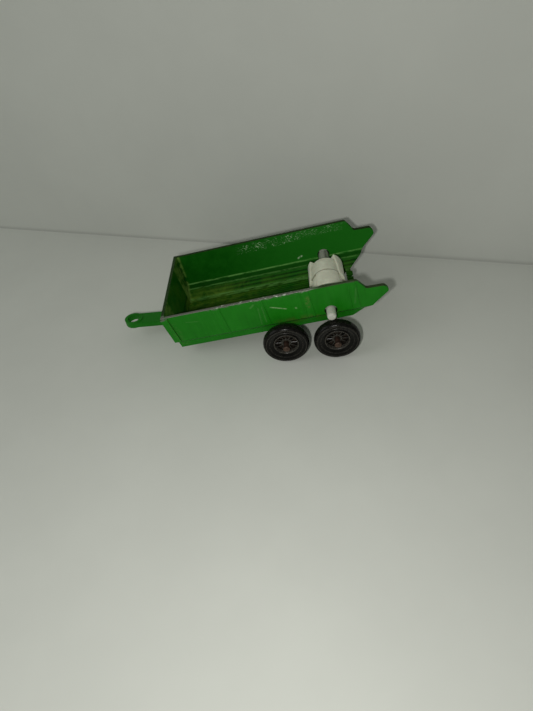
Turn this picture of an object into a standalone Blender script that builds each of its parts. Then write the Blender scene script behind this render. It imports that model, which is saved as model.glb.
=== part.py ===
"""Die-cast toy manure spreader trailer with tandem axles, as separate pieces.

The origin is on the ground, under the middle of the whole trailer's outline.
+X points to the open tail, -X to the drawbar eye, +Z is up, and -Y is the left
side for someone who stands at the tail and looks towards the drawbar.
All sizes are in millimetres and are turned to metres by MM. Positions X in the
lists below are measured from the point midway between the two axles; the empty
trailer_frame carries every piece from there to the origin.
"""
import math

import bmesh
import bpy
from mathutils import Matrix, Vector

MM = 0.001

# ---- driving dimensions -------------------------------------------------
WHEEL_DIAMETER = 11.0
WHEELBASE = 12.0
WHEEL_WIDTH = 2.4
WHEEL_INNER_FACE = 13.2          # from the centre plane
TUB_LENGTH = 45.4                # along the rim, front wall to rear corner
TUB_HALF_WIDTH = 12.57           # outside, at the rim
TUB_PITCH = math.radians(7.67)   # the tail stands higher than the front
RIM_FRONT = (-34.4, 14.56)       # X and Z of the rim at the front wall
WALL = 0.8                       # at the rim
RIM_CHAMFER = 0.14
CORNER_ROUND = 0.35              # in the corners of the section

# ---- tub section, depths measured down from the rim ----------------------
OUTER_BREAK = (11.55, 8.7)       # half width and depth where the side turns in
OUTER_STEP = (10.2, 10.1)
OUTER_BOTTOM = (9.9, 12.05)
INNER_RIM = TUB_HALF_WIDTH - WALL
INNER_BREAK = (10.45, 8.2)
INNER_LEDGE = (9.15, 9.05)
INNER_FLOOR = (6.9, 11.1)
FRONT_RAKE_OUT = 0.05            # the front wall leans in by this much per depth
FRONT_RAKE_IN = 0.045
PLANKS = 5
PLANK_HEIGHT = 0.25
PLANK_BED_HALF = 5.6
PLANK_GROOVE = 0.43

# ---- tail, positions along the rim and depths ----------------------------
NOTCH = (47.2, 2.97)
TAIL_TOP = (51.2, 3.1)
TAIL_TIP = (52.2, 4.75)
TAIL_HEEL = (49.1, 7.7)
LEDGE_END = (47.9, 9.0)
FLOOR_END = (43.4, 12.05)

# ---- stakes on the outside of both walls ---------------------------------
FRONT_STAKE_WIDTH = 1.65
FRONT_STAKE_RAISE = 0.3
FRONT_STAKE_LEAD = 0.12          # how far it stands proud of the front wall
STAKE_WIDTH = 1.7
STAKE_RAISE = 0.14
STAKE_CENTRES = (13.2, 23.2, 33.7, 44.1)

# ---- drawbar -------------------------------------------------------------
DRAWBAR_TOP_Z = 5.0
DRAWBAR_THICKNESS = 1.45
DRAWBAR_ROOT_X = -32.2
DRAWBAR_HALF_WIDTH = 1.95
EYE_X = -45.75
EYE_REACH = 2.4                  # half length of the oval eye
EYE_HALF_WIDTH = 2.05
EYE_RAISE = 0.2                  # how far the eye stands above the tongue
EYE_HOLE_DIAMETER = 3.0

# ---- axles and wheels ----------------------------------------------------
AXLE_DIAMETER = 1.27
AXLE_HEAD_DIAMETER = 1.62
AXLE_HEAD_LENGTH = 0.5
AXLE_HALF_LENGTH = 16.8
WHEEL_BORE_DIAMETER = 1.42
SPOKES = 12

# ---- beater --------------------------------------------------------------
BEATER_X = 4.94
BEATER_Z = 12.06
CORE_RADIUS = 3.7
CORE_ENDS = (-5.85, 3.85)        # Y of its two ends
PADDLE_RADIUS = 4.35
PADDLE_ROOT_RADIUS = 2.7
PADDLE_ENDS = (-7.0, 5.0)
ROW_SPLIT = -1.8                 # Y where the left row of paddles meets the right row
PADDLE_SWEEP = math.radians(46)  # half the angle one paddle covers at its free end
RIGHT_WAIST = math.radians(31)    # half the angle at the split, right row
LEFT_WAIST = math.radians(40)     # the same for the left row
RIGHT_ROW_ANGLE = math.radians(15)
LEFT_ROW_ANGLE = math.radians(90)
SHAFT_RADIUS = 1.32
SHAFT_END_RADIUS = 1.08
SHAFT_SHOULDER = 10.45
SHAFT_HALF_LENGTH = 14.25
SHAFT_HOLE_RADIUS = 1.5
DRUM_BORE_RADIUS = 1.36
DRUM_OPENING_HALF = 7.25         # opening in the floor that clears the turning drum

# ---- axle base under the floor -------------------------------------------
BASE_GAP = 0.06
BASE_HALF_WIDTH = 5.5
BASE_WEB = 1.2
BASE_PLATE = 1.0
BASE_BOTTOM_Z = 4.0
BASE_FRONT_X = -13.0
BASE_PLATE_REAR_X = 0.7
BASE_REAR_X = 8.0
BASE_REAR_TOP_Z = 6.9
AXLE_HOLE_DIAMETER = 1.43
RIVET_XS = (-10.4, -1.9)
RIVET_SHANK_DIAMETER = 1.5
RIVET_HEAD_DIAMETER = 2.8
RIVET_HEAD_HEIGHT = 0.5
RIVET_CLEARANCE = 0.06

AXLE_Z = WHEEL_DIAMETER / 2.0
AXLE_XS = (-WHEELBASE / 2.0, WHEELBASE / 2.0)
ROUND_STEPS = 32


def clear_scene():
    for old in list(bpy.data.objects):
        bpy.data.objects.remove(old, do_unlink=True)


def new_collection(name):
    made = bpy.data.collections.new(name)
    bpy.context.scene.collection.children.link(made)
    return made


def paint(name, colour, roughness, metallic):
    made = bpy.data.materials.new(name)
    made.use_nodes = True
    surface = made.node_tree.nodes["Principled BSDF"]
    surface.inputs["Base Color"].default_value = (*colour, 1.0)
    surface.inputs["Roughness"].default_value = roughness
    surface.inputs["Metallic"].default_value = metallic
    return made


def place(name, mesh, collection, material=None, location=(0, 0, 0), rotation=(0, 0, 0)):
    made = bpy.data.objects.new(name, mesh)
    collection.objects.link(made)
    made.parent = bpy.data.objects["trailer_frame"]
    made.location = [value * MM for value in location]
    made.rotation_euler = rotation
    if material is not None:
        mesh.materials.append(material)
    return made


def as_cutter(made):
    made.hide_render = True
    made.display_type = "WIRE"
    return made


def rounded(points, radius, steps=4):
    """Replace every corner of a closed outline by a short arc."""
    out = []
    count = len(points)
    for index in range(count):
        corner = Vector(points[index])
        before = (Vector(points[index - 1]) - corner)
        after = (Vector(points[(index + 1) % count]) - corner)
        turn = before.angle(after)
        reach = min(radius / math.tan(turn / 2.0), before.length * 0.45, after.length * 0.45)
        start = corner + before.normalized() * reach
        end = corner + after.normalized() * reach
        for step in range(steps + 1):
            t = step / steps
            point = start * (1 - t) ** 2 + corner * 2 * t * (1 - t) + end * t ** 2
            out.append((point.x, point.y))
    return out


def prism(name, outline, to_near, to_far):
    """Closed solid between two copies of an outline."""
    mesh = bpy.data.meshes.new(name)
    body = bmesh.new()
    near = [body.verts.new([value * MM for value in to_near(*point)]) for point in outline]
    far = [body.verts.new([value * MM for value in to_far(*point)]) for point in outline]
    body.faces.new(near)
    body.faces.new(list(reversed(far)))
    for index in range(len(outline)):
        following = (index + 1) % len(outline)
        body.faces.new((near[following], near[index], far[index], far[following]))
    bmesh.ops.recalc_face_normals(body, faces=body.faces)
    body.to_mesh(mesh)
    body.free()
    return mesh


def box(name, low, high):
    mesh = bpy.data.meshes.new(name)
    body = bmesh.new()
    bmesh.ops.create_cube(body, size=1.0)
    for vert in body.verts:
        for axis in range(3):
            middle = (low[axis] + high[axis]) / 2.0
            vert.co[axis] = (middle + vert.co[axis] * (high[axis] - low[axis])) * MM
    body.to_mesh(mesh)
    body.free()
    return mesh


def rod(name, radius, half_length, steps=ROUND_STEPS):
    """Cylinder along Y, centred on its own origin."""
    mesh = bpy.data.meshes.new(name)
    body = bmesh.new()
    turn = Matrix.Rotation(math.radians(90), 4, "X")
    bmesh.ops.create_cone(
        body, cap_ends=True, segments=steps, radius1=radius * MM, radius2=radius * MM,
        depth=2 * half_length * MM, matrix=turn)
    body.to_mesh(mesh)
    body.free()
    return mesh


def turned(name, profile, closed, collection, material, steps=ROUND_STEPS):
    """Solid of revolution about its own Z from (radius, height) points."""
    mesh = bpy.data.meshes.new(name)
    corners = [(radius * MM, 0.0, height * MM) for radius, height in profile]
    edges = [(index, index + 1) for index in range(len(corners) - 1)]
    if closed:
        edges.append((len(corners) - 1, 0))
    mesh.from_pydata(corners, edges, [])
    made = place(name, mesh, collection, material)
    spin = made.modifiers.new("turn", "SCREW")
    spin.axis = "Z"
    spin.steps = steps
    spin.render_steps = steps
    spin.use_merge_vertices = True
    spin.merge_threshold = 0.000001
    spin.use_normal_calculate = False
    return made


def boolean(target, tool, operation):
    step = target.modifiers.new(operation.lower(), "BOOLEAN")
    step.operation = operation
    step.solver = "EXACT"
    step.object = tool
    return step


def smooth_round(made, degrees=35):
    for polygon in made.data.polygons:
        polygon.use_smooth = True
    made.data.set_sharp_from_angle(angle=math.radians(degrees))


def rim_height(x):
    """Z of the plane of the rim above a point X."""
    return RIM_FRONT[1] + (x - RIM_FRONT[0]) * math.tan(TUB_PITCH)


def floor_underside(x):
    return rim_height(x) - OUTER_BOTTOM[1] / math.cos(TUB_PITCH)


def mirror_section(half):
    """Full outline across the tub from the points of its +Y half."""
    return half + [(-y, z) for y, z in reversed(half)]


def soften(before, corner, after, steps=2):
    """The short arc that replaces one corner of a section."""
    loop = rounded([before, corner, after], CORNER_ROUND, steps)
    return loop[steps + 1:2 * (steps + 1)]


def tub_sections():
    outer = [(TUB_HALF_WIDTH - RIM_CHAMFER, 0.0), (TUB_HALF_WIDTH, -RIM_CHAMFER)]
    for y, depth in (OUTER_BREAK, OUTER_STEP, OUTER_BOTTOM):
        outer.append((y, -depth))
    above = 1.0
    rim = (INNER_RIM, -RIM_CHAMFER)
    corners = [rim] + [(y, -depth) for y, depth in (INNER_BREAK, INNER_LEDGE, INNER_FLOOR)]
    inner = [(INNER_RIM + RIM_CHAMFER + above, above), rim]
    for index in (1, 2):
        inner.extend(soften(corners[index - 1], corners[index], corners[index + 1]))
    inner.append(corners[-1])
    low = -INNER_FLOOR[1]
    high = low + PLANK_HEIGHT
    plank = (2 * PLANK_BED_HALF - (PLANKS - 1) * PLANK_GROOVE) / PLANKS
    edge = PLANK_BED_HALF
    while edge > 0:
        inner.append((edge, low))
        inner.append((edge, high))
        if edge - plank > 0:
            inner.append((edge - plank, high))
            inner.append((edge - plank, low))
        edge -= plank + PLANK_GROOVE
    return mirror_section(outer), mirror_section(inner)


def side_outline():
    """Outline of the tub seen from the side; it runs past the front and below."""
    beyond = 3.0
    slope = (NOTCH[0] - TUB_LENGTH) / NOTCH[1]
    lead = 1.2
    tail = [
        (TUB_LENGTH - lead, 0.35),
        (TUB_LENGTH, -0.15),
        (NOTCH[0], -NOTCH[1]),
        (TAIL_TOP[0], -TAIL_TOP[1]),
        (TAIL_TIP[0], -TAIL_TIP[1]),
        (TAIL_HEEL[0], -TAIL_HEEL[1]),
        (LEDGE_END[0], -LEDGE_END[1]),
        (FLOOR_END[0], -FLOOR_END[1]),
    ]
    soft = rounded([(0.0, 0.35)] + tail + [(0.0, -FLOOR_END[1])], 0.9)
    inside = [point for point in soft if point[0] > 1.0]
    return [(-beyond, beyond * slope)] + [(TUB_LENGTH - 2 * lead, beyond * slope)] + inside + [
        (FLOOR_END[0] - 1.0, -FLOOR_END[1] - beyond), (-beyond, -FLOOR_END[1] - beyond)]


def stake(name, start, width, wall_raise, side):
    """Raised strip down the outside of one wall, stopping at the break."""
    sunk = 0.4
    top = -0.2
    bottom = -OUTER_BREAK[1] + 0.15

    def wall_at(height):
        return TUB_HALF_WIDTH + (OUTER_BREAK[0] - TUB_HALF_WIDTH) * -height / OUTER_BREAK[1]

    outline = [
        (side * (wall_at(top) + wall_raise), top),
        (side * (wall_at(bottom) + wall_raise), bottom),
        (side * (wall_at(bottom) - sunk), bottom),
        (side * (wall_at(top) - sunk), top),
    ]

    def front(y, z):
        return (start - z * FRONT_RAKE_OUT, y, z)

    def back(y, z):
        return (start + width - z * FRONT_RAKE_OUT, y, z)

    return prism(name, outline, front, back)


def drawbar_mesh():
    """Level tongue, in plan; its front end is inside the eye."""
    outline = [
        (EYE_X, DRAWBAR_HALF_WIDTH), (EYE_X, -DRAWBAR_HALF_WIDTH),
        (DRAWBAR_ROOT_X, -DRAWBAR_HALF_WIDTH), (DRAWBAR_ROOT_X, DRAWBAR_HALF_WIDTH),
    ]
    bottom = DRAWBAR_TOP_Z - DRAWBAR_THICKNESS
    return prism(
        "drawbar_tongue", outline,
        lambda x, y: (x, y, bottom),
        lambda x, y: (x, y, DRAWBAR_TOP_Z))


def eye_mesh():
    """Oval disc at the end of the tongue, a little thicker than it."""
    outline = []
    for step in range(ROUND_STEPS):
        angle = 2 * math.pi * step / ROUND_STEPS
        outline.append((EYE_X + EYE_REACH * math.cos(angle), EYE_HALF_WIDTH * math.sin(angle)))
    bottom = DRAWBAR_TOP_Z - DRAWBAR_THICKNESS - EYE_RAISE / 2.0
    top = DRAWBAR_TOP_Z + EYE_RAISE
    return prism(
        "drawbar_eye_disc", outline,
        lambda x, y: (x, y, bottom),
        lambda x, y: (x, y, top))


def tub_point(along, y, up):
    """Place of a point of the tub's own frame in the trailer's frame."""
    x = RIM_FRONT[0] + along * math.cos(TUB_PITCH) - up * math.sin(TUB_PITCH)
    z = RIM_FRONT[1] + along * math.sin(TUB_PITCH) + up * math.cos(TUB_PITCH)
    return (x, y, z)


def make_tub(parts, tools, material, tub_frame):
    outer, inner = tub_sections()
    back = TAIL_TIP[0] + 3.0
    shell = prism(
        "tub", outer,
        lambda y, z: (-z * FRONT_RAKE_OUT, y, z),
        lambda y, z: (back, y, z))
    tub = place("tub", shell, parts, material)
    tub.parent = tub_frame

    def tub_tool(mesh, name):
        tool = as_cutter(place(name, mesh, tools))
        tool.parent = tub_frame
        return tool

    hollow = prism(
        "load_space", inner,
        lambda y, z: (WALL - z * FRONT_RAKE_IN, y, z),
        lambda y, z: (back + 1.0, y, z))
    boolean(tub, tub_tool(hollow, "load_space"), "DIFFERENCE")
    wide = TUB_HALF_WIDTH + 2.0
    outline = prism(
        "side_outline", side_outline(),
        lambda x, z: (x, -wide, z),
        lambda x, z: (x, wide, z))
    boolean(tub, tub_tool(outline, "side_outline"), "INTERSECT")

    for side, hand in ((-1, "left"), (1, "right")):
        front = stake(
            f"front_stake_{hand}", -FRONT_STAKE_LEAD, FRONT_STAKE_WIDTH, FRONT_STAKE_RAISE, side)
        boolean(tub, tub_tool(front, front.name), "UNION")
        for number, centre in enumerate(STAKE_CENTRES):
            name = f"stake_{hand}_{number + 1}"
            strip = stake(name, centre - STAKE_WIDTH / 2.0, STAKE_WIDTH, STAKE_RAISE, side)
            boolean(tub, tub_tool(strip, name), "UNION")

    reach = PADDLE_RADIUS + 0.5
    along, _, depth = tub_local(BEATER_X, BEATER_Z)
    well = box(
        "drum_opening",
        (along - reach, -DRUM_OPENING_HALF, -OUTER_BOTTOM[1] - 1.0),
        (along + reach, DRUM_OPENING_HALF, -INNER_FLOOR[1] + 0.6))
    boolean(tub, tub_tool(well, "drum_opening"), "DIFFERENCE")

    tongue = as_cutter(place("drawbar_tongue", drawbar_mesh(), tools))
    boolean(tub, tongue, "UNION")
    boolean(tub, as_cutter(place("drawbar_eye_disc", eye_mesh(), tools)), "UNION")
    eye_hole = as_cutter(place(
        "drawbar_eye_hole", rod("drawbar_eye_hole", EYE_HOLE_DIAMETER / 2.0, 3.0), tools, None,
        (EYE_X, 0, DRAWBAR_TOP_Z), (math.radians(90), 0, 0)))
    boolean(tub, eye_hole, "DIFFERENCE")

    shaft_hole = as_cutter(place(
        "shaft_hole", rod("shaft_hole", SHAFT_HOLE_RADIUS, TUB_HALF_WIDTH + 2), tools, None,
        (BEATER_X, 0, BEATER_Z)))
    boolean(tub, shaft_hole, "DIFFERENCE")
    for number, x in enumerate(RIVET_XS):
        boolean(tub, rivet_hole(tools, tub_frame, number, x), "DIFFERENCE")
    return tub


def tub_local(x, z):
    """Position along the rim, 0 and height in the tub's own frame."""
    dx = x - RIM_FRONT[0]
    dz = z - RIM_FRONT[1]
    along = dx * math.cos(TUB_PITCH) + dz * math.sin(TUB_PITCH)
    up = dz * math.cos(TUB_PITCH) - dx * math.sin(TUB_PITCH)
    return along, 0.0, up


def rivet_hole(tools, tub_frame, number, x):
    name = f"rivet_hole_{number + 1}"
    if name in bpy.data.objects:
        return bpy.data.objects[name]
    radius = RIVET_SHANK_DIAMETER / 2.0 + RIVET_CLEARANCE
    along, _, up = tub_local(x, floor_underside(x))
    hole = as_cutter(place(
        name, rod(name, radius, 3.0, 24), tools, None, (along, 0, up), (math.radians(90), 0, 0)))
    hole.parent = tub_frame
    return hole


def make_base(parts, tools, material, tub_frame):
    def top(x):
        return floor_underside(x) - BASE_GAP

    chamfer = 0.6
    outline = [
        (BASE_FRONT_X, top(BASE_FRONT_X)),
        (BASE_FRONT_X, BASE_BOTTOM_Z + chamfer),
        (BASE_FRONT_X + chamfer, BASE_BOTTOM_Z),
        (BASE_REAR_X - chamfer, BASE_BOTTOM_Z),
        (BASE_REAR_X, BASE_BOTTOM_Z + chamfer),
        (BASE_REAR_X, BASE_REAR_TOP_Z - chamfer),
        (BASE_REAR_X - chamfer, BASE_REAR_TOP_Z),
        (BASE_PLATE_REAR_X + 0.4, BASE_REAR_TOP_Z),
        (BASE_PLATE_REAR_X, top(BASE_PLATE_REAR_X)),
    ]
    mesh = prism(
        "axle_base", outline,
        lambda x, z: (x, -BASE_HALF_WIDTH, z),
        lambda x, z: (x, BASE_HALF_WIDTH, z))
    base = place("axle_base", mesh, parts, material)
    pocket_half = BASE_HALF_WIDTH - BASE_WEB
    pocket_front = BASE_FRONT_X + 1.0
    pocket_rear = BASE_PLATE_REAR_X - 0.8
    under = [
        (pocket_front, BASE_BOTTOM_Z - 1.0),
        (pocket_rear, BASE_BOTTOM_Z - 1.0),
        (pocket_rear, top(pocket_rear) - BASE_PLATE),
        (pocket_front, top(pocket_front) - BASE_PLATE),
    ]
    pocket = as_cutter(place("base_pocket", prism(
        "base_pocket", under,
        lambda x, z: (x, -pocket_half, z),
        lambda x, z: (x, pocket_half, z)), tools))
    boolean(base, pocket, "DIFFERENCE")
    well = as_cutter(place("base_well", box(
        "base_well",
        (BASE_PLATE_REAR_X + 0.5, -pocket_half, BASE_BOTTOM_Z - 1.0),
        (BASE_REAR_X - 1.0, pocket_half, BASE_REAR_TOP_Z + 1.0)), tools))
    boolean(base, well, "DIFFERENCE")
    for number, x in enumerate(AXLE_XS):
        name = f"axle_bore_{number + 1}"
        bore = as_cutter(place(
            name, rod(name, AXLE_HOLE_DIAMETER / 2.0, BASE_HALF_WIDTH + 1), tools, None,
            (x, 0, AXLE_Z)))
        boolean(base, bore, "DIFFERENCE")
    for number, x in enumerate(RIVET_XS):
        boolean(base, rivet_hole(tools, tub_frame, number, x), "DIFFERENCE")
    return base


def make_rivet(name, x, parts, material, tub_frame):
    """Domed head on the floor of the tub, a spread head under the axle base."""
    along, _, up = tub_local(x, floor_underside(x))
    top = (OUTER_BOTTOM[1] - INNER_FLOOR[1]) + PLANK_HEIGHT + RIVET_CLEARANCE
    bottom = -(BASE_PLATE + BASE_GAP) * math.cos(TUB_PITCH) - RIVET_CLEARANCE - 0.02
    head = RIVET_HEAD_DIAMETER / 2.0
    shank = RIVET_SHANK_DIAMETER / 2.0
    profile = [
        (0.0, top + RIVET_HEAD_HEIGHT),
        (head * 0.5, top + RIVET_HEAD_HEIGHT * 0.88),
        (head * 0.85, top + RIVET_HEAD_HEIGHT * 0.5),
        (head, top),
        (shank, top),
        (shank, bottom),
        (head * 0.9, bottom),
        (head * 0.8, bottom - RIVET_HEAD_HEIGHT * 0.6),
        (head * 0.4, bottom - RIVET_HEAD_HEIGHT * 0.8),
        (0.0, bottom - RIVET_HEAD_HEIGHT * 0.8),
    ]
    made = turned(name, profile, False, parts, material, 20)
    made.location = [along * MM, 0.0, up * MM]
    made.parent = tub_frame
    return made


def make_axle(name, x, parts, material):
    radius = AXLE_DIAMETER / 2.0
    head = AXLE_HEAD_DIAMETER / 2.0
    end = AXLE_HALF_LENGTH
    inner = end - AXLE_HEAD_LENGTH
    half = [
        (0.0, end),
        (head * 0.6, end - 0.04),
        (head * 0.93, end - AXLE_HEAD_LENGTH * 0.35),
        (head, inner + 0.08),
        (head * 0.95, inner),
        (radius, inner),
    ]
    profile = half + [(r, -h) for r, h in reversed(half)]
    made = turned(name, profile, False, parts, material, 20)
    made.location = [x * MM, 0.0, AXLE_Z * MM]
    made.rotation_euler = (math.radians(90), 0, 0)
    return made


def wheel_profile():
    """(radius, distance out from the inner face) round the section of a wheel."""
    rim = WHEEL_DIAMETER / 2.0
    wide = WHEEL_WIDTH
    bore = WHEEL_BORE_DIAMETER / 2.0
    hub = 1.25
    ring_in = rim * 0.5
    ring_out = rim * 0.59
    bead = rim * 0.88
    return [
        (bore, wide * 0.5),
        (hub - 0.12, wide * 0.5),
        (hub, wide * 0.45),
        (hub, wide * 0.34),
        (ring_in, wide * 0.34),
        (ring_in + 0.06, wide * 0.74),
        (ring_out, wide * 0.8),
        (ring_out + 0.1, wide * 0.74),
        (rim * 0.66, wide * 0.86),
        (rim * 0.8, wide * 0.97),
        (bead - 0.08, wide),
        (bead, wide * 0.95),
        (bead + 0.1, wide * 0.98),
        (rim * 0.945, wide * 0.9),
        (rim * 0.985, wide * 0.72),
        (rim, wide * 0.5),
        (rim * 0.985, wide * 0.26),
        (rim * 0.945, wide * 0.08),
        (rim * 0.88, 0.0),
        (rim * 0.74, 0.0),
        (rim * 0.7, wide * 0.1),
        (hub, wide * 0.1),
        (hub, -0.3),
        (bore, -0.3),
    ]


def spokes_mesh():
    """Thin ribs from the hub out to the inner ring, in one mesh."""
    body = bmesh.new()
    rim = WHEEL_DIAMETER / 2.0
    inner = 1.15
    outer = rim * 0.5 + 0.05
    half = 0.11
    low = WHEEL_WIDTH * 0.25
    high = WHEEL_WIDTH * 0.45
    for number in range(SPOKES):
        corners = bmesh.ops.create_cube(body, size=1.0)["verts"]
        turn = Matrix.Rotation(2 * math.pi * number / SPOKES, 3, "Z")
        for vert in corners:
            x = inner if vert.co.x < 0 else outer
            y = half if vert.co.y > 0 else -half
            z = high if vert.co.z > 0 else low
            vert.co = turn @ Vector((x * MM, y * MM, z * MM))
    mesh = bpy.data.meshes.new("spokes")
    body.to_mesh(mesh)
    body.free()
    return mesh


def make_wheel(name, x, side, parts, tools, material, spokes):
    wheel = turned(name, wheel_profile(), True, parts, material)
    outwards = math.radians(90) if side < 0 else math.radians(-90)
    wheel.location = [x * MM, side * WHEEL_INNER_FACE * MM, AXLE_Z * MM]
    wheel.rotation_euler = (outwards, 0, 0)
    ribs = as_cutter(place(f"{name}_spokes", spokes, tools))
    ribs.location = wheel.location
    ribs.rotation_euler = wheel.rotation_euler
    boolean(wheel, ribs, "UNION")
    return wheel


def make_shaft(parts, material):
    end_round = 0.25
    half = [
        (0.0, SHAFT_HALF_LENGTH),
        (SHAFT_END_RADIUS - end_round, SHAFT_HALF_LENGTH),
        (SHAFT_END_RADIUS - 0.07, SHAFT_HALF_LENGTH - 0.07),
        (SHAFT_END_RADIUS, SHAFT_HALF_LENGTH - end_round),
        (SHAFT_END_RADIUS, SHAFT_SHOULDER),
        (SHAFT_RADIUS, SHAFT_SHOULDER),
    ]
    profile = half + [(r, -h) for r, h in reversed(half)]
    made = turned("beater_shaft", profile, False, parts, material, 28)
    made.location = [BEATER_X * MM, 0.0, BEATER_Z * MM]
    made.rotation_euler = (math.radians(90), 0, 0)
    return made


def paddle_mesh(name, middle, free_end, waist):
    """Curved blade on the drum; it narrows from its free end to the split."""
    along = 6
    across = 8
    crown = 0.12
    split_in = 0.02 if free_end > ROW_SPLIT else -0.02
    body = bmesh.new()
    rings = []
    for row in range(along + 1):
        t = row / along
        y = ROW_SPLIT + split_in + (free_end - ROW_SPLIT - split_in) * t
        spread = waist + (PADDLE_SWEEP - waist) * t ** 2
        ring = []
        for step in range(across + 1):
            turn = 2.0 * step / across - 1.0
            angle = middle + spread * turn
            radius = PADDLE_RADIUS - crown * turn ** 4
            ring.append((radius * math.cos(angle), y, radius * math.sin(angle)))
        for step in range(across + 1):
            angle = middle + spread * (1.0 - 2.0 * step / across)
            ring.append((PADDLE_ROOT_RADIUS * math.cos(angle), y, PADDLE_ROOT_RADIUS * math.sin(angle)))
        rings.append([body.verts.new([value * MM for value in point]) for point in ring])
    count = len(rings[0])
    for row in range(along):
        for number in range(count):
            following = (number + 1) % count
            body.faces.new((
                rings[row][number], rings[row][following],
                rings[row + 1][following], rings[row + 1][number]))
    body.faces.new(rings[0])
    body.faces.new(list(reversed(rings[-1])))
    bmesh.ops.recalc_face_normals(body, faces=body.faces)
    mesh = bpy.data.meshes.new(name)
    body.to_mesh(mesh)
    body.free()
    return mesh


def make_drum(parts, tools, material):
    """Core with two rows of two paddles; the left row is turned on by 75 degrees."""
    half = (CORE_ENDS[1] - CORE_ENDS[0]) / 2.0
    middle = (CORE_ENDS[1] + CORE_ENDS[0]) / 2.0
    at_axle = (BEATER_X, 0, BEATER_Z)
    drum = place("beater_drum", rod("beater_drum", CORE_RADIUS, half, 40), parts, material, at_axle)
    for vert in drum.data.vertices:
        vert.co.y += middle * MM
    smooth_round(drum)
    for row, free_end, angle, waist in (
            ("left", PADDLE_ENDS[0], LEFT_ROW_ANGLE, LEFT_WAIST),
            ("right", PADDLE_ENDS[1], RIGHT_ROW_ANGLE, RIGHT_WAIST)):
        for number in (1, 2):
            name = f"{row}_paddle_{number}"
            shape = paddle_mesh(name, angle + math.pi * number, free_end, waist)
            blade = place(name, shape, tools, None, at_axle)
            smooth_round(as_cutter(blade))
            boolean(drum, blade, "UNION")
    bore = as_cutter(place(
        "drum_bore", rod("drum_bore", DRUM_BORE_RADIUS, SHAFT_HALF_LENGTH, 32), tools, None, at_axle))
    boolean(drum, bore, "DIFFERENCE")
    return drum


def main():
    clear_scene()
    parts = new_collection("manure_spreader_trailer")
    tools = new_collection("cutters")
    green = paint("green_paint", (0.02, 0.17, 0.012), 0.42, 0.0)
    black = paint("black_plastic", (0.012, 0.011, 0.010), 0.5, 0.0)
    cream = paint("cream_plastic", (0.80, 0.79, 0.70), 0.45, 0.0)
    steel = paint("worn_steel", (0.24, 0.15, 0.11), 0.55, 0.8)
    zinc = paint("bare_zinc", (0.33, 0.33, 0.32), 0.5, 0.8)

    trailer_frame = bpy.data.objects.new("trailer_frame", None)
    parts.objects.link(trailer_frame)
    tail_end = max(tub_point(along, 0.0, up)[0] for along, up in side_outline())
    tip = EYE_X - EYE_REACH
    trailer_frame.location = [-(tip + tail_end) / 2.0 * MM, 0.0, 0.0]
    tub_frame = bpy.data.objects.new("tub_frame", None)
    parts.objects.link(tub_frame)
    tub_frame.parent = trailer_frame
    tub_frame.location = [RIM_FRONT[0] * MM, 0.0, RIM_FRONT[1] * MM]
    tub_frame.rotation_euler = (0.0, -TUB_PITCH, 0.0)

    make_tub(parts, tools, green, tub_frame)
    make_base(parts, tools, green, tub_frame)
    for name, x in zip(("front_rivet", "rear_rivet"), RIVET_XS):
        make_rivet(name, x, parts, zinc, tub_frame)
    spokes = spokes_mesh()
    for row, x in zip(("front", "rear"), AXLE_XS):
        make_axle(f"{row}_axle", x, parts, steel)
        for side, hand in ((-1, "left"), (1, "right")):
            make_wheel(f"{row}_{hand}_wheel", x, side, parts, tools, black, spokes)
    make_shaft(parts, cream)
    make_drum(parts, tools, cream)


main()
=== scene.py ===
import math

import bmesh
import bpy
from mathutils import Matrix, Vector


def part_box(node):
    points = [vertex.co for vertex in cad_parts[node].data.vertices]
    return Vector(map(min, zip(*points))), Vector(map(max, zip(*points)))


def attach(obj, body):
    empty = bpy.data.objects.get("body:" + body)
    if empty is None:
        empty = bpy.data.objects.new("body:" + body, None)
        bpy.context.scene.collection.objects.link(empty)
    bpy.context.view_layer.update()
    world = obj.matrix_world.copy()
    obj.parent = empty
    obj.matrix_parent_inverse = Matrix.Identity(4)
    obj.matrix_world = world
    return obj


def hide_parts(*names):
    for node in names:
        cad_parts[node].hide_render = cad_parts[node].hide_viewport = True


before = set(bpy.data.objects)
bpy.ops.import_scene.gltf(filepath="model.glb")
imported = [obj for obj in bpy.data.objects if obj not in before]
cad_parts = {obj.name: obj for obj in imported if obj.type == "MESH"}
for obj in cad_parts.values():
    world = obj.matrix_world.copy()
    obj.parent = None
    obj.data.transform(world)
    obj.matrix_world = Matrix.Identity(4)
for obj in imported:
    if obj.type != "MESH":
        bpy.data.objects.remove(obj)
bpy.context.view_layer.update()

# The looks of a small die-cast toy manure spreader trailer. Lengths are in
# millimetres and are turned to metres by MM. X runs to the tail, Z is up, and -Y
# is the side nearest to the camera. In the enamel, along and up are measured from
# the front end of the rim, along the sloping rim and at right angles to it.
MM = 0.001

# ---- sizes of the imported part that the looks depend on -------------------
AXLES = ("front_axle", "rear_axle")
WHEELS = ("front_left_wheel", "front_right_wheel", "rear_left_wheel", "rear_right_wheel")
TUB_PITCH = math.radians(7.67)   # the tub rises towards the tail
RIM_FRONT_AHEAD = 34.4           # front end of the rim, ahead of the middle of the axles
RIM_FRONT_HEIGHT = 14.56
WHEEL_RADIUS = 5.5
WHEEL_WIDTH = 2.4
WHEEL_BORE = 0.71
HUB_RADIUS = 1.25
HUB_STAND_OFF = 0.3              # the hub reaches this far in past the tyre's inner face
SPOKE_COUNT = 12
AXLE_HALF = 16.8
AXLE_RADIUS = 0.635
AXLE_HEAD_RADIUS = 0.81
SHAFT_HALF = 14.25
SHAFT_END_RADIUS = 1.05
SHAFT_MIDDLE_RADIUS = 1.32
SHAFT_SHOULDER = 10.45
DRUM_CORE_RADIUS = 3.7
DRUM_CORE_ENDS = (-5.85, 3.85)
DRUM_BORE = 1.36
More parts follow.
